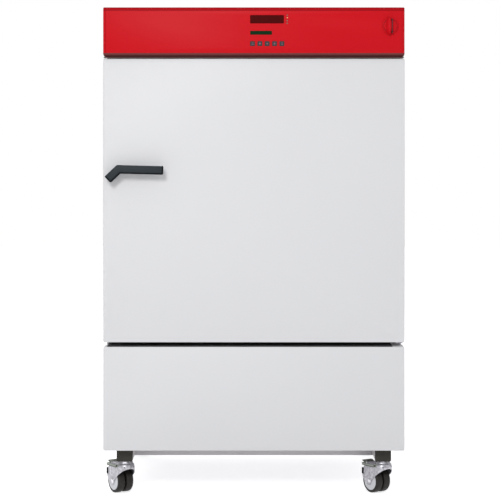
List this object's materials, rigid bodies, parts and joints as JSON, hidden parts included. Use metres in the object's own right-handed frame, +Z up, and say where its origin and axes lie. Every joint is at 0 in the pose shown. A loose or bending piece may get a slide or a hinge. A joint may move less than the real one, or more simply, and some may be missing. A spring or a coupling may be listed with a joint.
{
  "type": "refrigerated incubator",
  "caption": "Floor-standing refrigerated incubator: white insulated cabinet, red control fascia, side-hinged door with lever handle over a glass door, racks, twin-wheel castors",
  "frame": {"origin": "on the floor, under the middle of the part's outer box", "axes": "+X right as seen from the front, +Y from the door to the back, +Z up"},
  "size_m": [0.925, 0.848, 1.5045],
  "materials": {
    "white_paint": "satin",
    "grey_paint": "satin",
    "tube_paint": "satin",
    "red_paint": "satin",
    "red_plastic": "satin",
    "black_paint": "satin",
    "black_plastic": "matte",
    "handle_plastic": "satin",
    "pedal_plastic": "satin",
    "stainless": "satin",
    "galvanised": "satin",
    "zinc": "satin",
    "aluminium": "satin",
    "fins": "satin",
    "foam": "matte",
    "gasket": "matte",
    "silicone": "matte",
    "glass": "polished",
    "led_window": "gloss",
    "lcd_window": "gloss",
    "lens": "gloss",
    "board": "matte",
    "key": "satin",
    "tyre": "matte"
  },
  "bodies": {
    "cabinet": {"outer_housing": "white_paint", "rear_panel": "grey_paint", "foam_body": "foam", "inner_chamber": "stainless", "front_frame": "white_paint", "lower_front_panel": "white_paint", "base_pan": "galvanised", "base_frame": "tube_paint", "rail_cap_left": "black_plastic", "rail_cap_right": "black_plastic", "compressor": "black_paint", "condenser": "fins", "evaporator": "fins", "air_baffle": "stainless", "chamber_fan_motor": "grey_paint", "fascia": "red_paint", "led_display": "led_window", "lcd_display": "lcd_window", "indicator_bar": "lens", "control_board": "board", "latch_keeper": "zinc", "hinge_top": "zinc", "hinge_bottom": "zinc", "port_tube": "stainless", "castor_fl_stem": "zinc", "castor_fr_stem": "zinc", "castor_rl_stem": "zinc", "castor_rr_stem": "zinc"},
    "door": {"door_shell": "white_paint", "door_inner_panel": "stainless", "door_gasket": "gasket"},
    "handle": {"door_handle": "handle_plastic", "latch_finger": "zinc"},
    "glass_door": {"glass_door_frame": "stainless", "glass_pane": "glass"},
    "rack_lower": {"rack_lower": "stainless"},
    "rack_upper": {"rack_upper": "stainless"},
    "limiter_knob": {"limiter_knob": "red_plastic"},
    "port_plug": {"port_plug": "silicone"},
    "chamber_fan": {"chamber_fan": "aluminium"},
    "condenser_fan": {"condenser_fan": "black_plastic"},
    "key_1": {"key_1": "key"},
    "key_2": {"key_2": "key"},
    "key_3": {"key_3": "key"},
    "key_4": {"key_4": "key"},
    "key_5": {"key_5": "key"},
    "castor_fl": {"castor_fl_fork": "zinc"},
    "wheel_fl_a": {"castor_fl_wheel_a": "tyre"},
    "wheel_fl_b": {"castor_fl_wheel_b": "tyre"},
    "castor_fr": {"castor_fr_fork": "zinc"},
    "wheel_fr_a": {"castor_fr_wheel_a": "tyre"},
    "wheel_fr_b": {"castor_fr_wheel_b": "tyre"},
    "castor_rl": {"castor_rl_fork": "zinc"},
    "wheel_rl_a": {"castor_rl_wheel_a": "tyre"},
    "wheel_rl_b": {"castor_rl_wheel_b": "tyre"},
    "castor_rr": {"castor_rr_fork": "zinc"},
    "wheel_rr_a": {"castor_rr_wheel_a": "tyre"},
    "wheel_rr_b": {"castor_rr_wheel_b": "tyre"},
    "pedal_fl": {"castor_fl_pedal": "pedal_plastic"},
    "pedal_fr": {"castor_fr_pedal": "pedal_plastic"}
  },
  "joints": [
    {"name": "door_hinge", "type": "hinge", "parent": "cabinet", "child": "door", "pos_m": [0.4445, -0.354, 0.9121], "axis": [0, 0, 1], "range_deg": [0, 115]},
    {"name": "handle_turn", "type": "hinge", "parent": "door", "child": "handle", "pos_m": [-0.4355, -0.4, 0.986], "axis": [0, -1, 0], "range_deg": [0, 45]},
    {"name": "glass_door_hinge", "type": "hinge", "parent": "cabinet", "child": "glass_door", "pos_m": [0.3395, -0.2977, 0.9121], "axis": [0, 0, 1], "range_deg": [0, 95]},
    {"name": "rack_lower_slide", "type": "slide", "parent": "cabinet", "child": "rack_lower", "axis": [0, -1, 0], "range_m": [0, 0.03]},
    {"name": "rack_upper_slide", "type": "slide", "parent": "cabinet", "child": "rack_upper", "axis": [0, -1, 0], "range_m": [0, 0.03]},
    {"name": "limiter_turn", "type": "hinge", "parent": "cabinet", "child": "limiter_knob", "pos_m": [0.4181, -0.38, 1.447], "axis": [0, 1, 0], "range_deg": [-135, 135]},
    {"name": "plug_slide", "type": "slide", "parent": "cabinet", "child": "port_plug", "axis": [-1, 0, 0], "range_m": [0, 0.05]},
    {"name": "chamber_fan_spin", "type": "hinge", "parent": "cabinet", "child": "chamber_fan", "pos_m": [0, 0.2285, 1.1196], "axis": [0, 1, 0], "continuous": true},
    {"name": "condenser_fan_spin", "type": "hinge", "parent": "cabinet", "child": "condenser_fan", "pos_m": [-0.18, 0.33, 0.2626], "axis": [0, 1, 0], "continuous": true},
    {"name": "key_1_press", "type": "slide", "parent": "cabinet", "child": "key_1", "axis": [0, 1, 0], "range_m": [0, 0.0015], "stiffness_N_per_m": 400},
    {"name": "key_2_press", "type": "slide", "parent": "cabinet", "child": "key_2", "axis": [0, 1, 0], "range_m": [0, 0.0015], "stiffness_N_per_m": 400},
    {"name": "key_3_press", "type": "slide", "parent": "cabinet", "child": "key_3", "axis": [0, 1, 0], "range_m": [0, 0.0015], "stiffness_N_per_m": 400},
    {"name": "key_4_press", "type": "slide", "parent": "cabinet", "child": "key_4", "axis": [0, 1, 0], "range_m": [0, 0.0015], "stiffness_N_per_m": 400},
    {"name": "key_5_press", "type": "slide", "parent": "cabinet", "child": "key_5", "axis": [0, 1, 0], "range_m": [0, 0.0015], "stiffness_N_per_m": 400},
    {"name": "castor_fl_swivel", "type": "hinge", "parent": "cabinet", "child": "castor_fl", "pos_m": [-0.4, -0.308, 0.098], "axis": [0, 0, 1], "continuous": true},
    {"name": "wheel_fl_a_roll", "type": "hinge", "parent": "castor_fl", "child": "wheel_fl_a", "pos_m": [-0.41634, -0.28284, 0.0375], "axis": [0.8387, 0.5446, 0], "continuous": true},
    {"name": "wheel_fl_b_roll", "type": "hinge", "parent": "castor_fl", "child": "wheel_fl_b", "pos_m": [-0.41634, -0.28284, 0.0375], "axis": [0.8387, 0.5446, 0], "continuous": true},
    {"name": "pedal_fl_lift", "type": "hinge", "parent": "castor_fl", "child": "pedal_fl", "pos_m": [-0.43209, -0.25858, 0.08564], "axis": [0.8387, 0.5446, 0], "range_deg": [0, 12]},
    {"name": "castor_fr_swivel", "type": "hinge", "parent": "cabinet", "child": "castor_fr", "pos_m": [0.4, -0.308, 0.098], "axis": [0, 0, 1], "continuous": true},
    {"name": "wheel_fr_a_roll", "type": "hinge", "parent": "castor_fr", "child": "wheel_fr_a", "pos_m": [0.38366, -0.28284, 0.0375], "axis": [0.8387, 0.5446, 0], "continuous": true},
    {"name": "wheel_fr_b_roll", "type": "hinge", "parent": "castor_fr", "child": "wheel_fr_b", "pos_m": [0.38366, -0.28284, 0.0375], "axis": [0.8387, 0.5446, 0], "continuous": true},
    {"name": "pedal_fr_lift", "type": "hinge", "parent": "castor_fr", "child": "pedal_fr", "pos_m": [0.36791, -0.25858, 0.08564], "axis": [0.8387, 0.5446, 0], "range_deg": [0, 12]},
    {"name": "castor_rl_swivel", "type": "hinge", "parent": "cabinet", "child": "castor_rl", "pos_m": [-0.4, 0.334, 0.098], "axis": [0, 0, 1], "continuous": true},
    {"name": "wheel_rl_a_roll", "type": "hinge", "parent": "castor_rl", "child": "wheel_rl_a", "pos_m": [-0.41634, 0.35916, 0.0375], "axis": [0.8387, 0.5446, 0], "continuous": true},
    {"name": "wheel_rl_b_roll", "type": "hinge", "parent": "castor_rl", "child": "wheel_rl_b", "pos_m": [-0.41634, 0.35916, 0.0375], "axis": [0.8387, 0.5446, 0], "continuous": true},
    {"name": "castor_rr_swivel", "type": "hinge", "parent": "cabinet", "child": "castor_rr", "pos_m": [0.4, 0.334, 0.098], "axis": [0, 0, 1], "continuous": true},
    {"name": "wheel_rr_a_roll", "type": "hinge", "parent": "castor_rr", "child": "wheel_rr_a", "pos_m": [0.38366, 0.35916, 0.0375], "axis": [0.8387, 0.5446, 0], "continuous": true},
    {"name": "wheel_rr_b_roll", "type": "hinge", "parent": "castor_rr", "child": "wheel_rr_b", "pos_m": [0.38366, 0.35916, 0.0375], "axis": [0.8387, 0.5446, 0], "continuous": true}
  ],
  "couplings": [
    {"joint": "glass_door_hinge", "follows": "door_hinge", "ratio": 0.8}
  ]
}
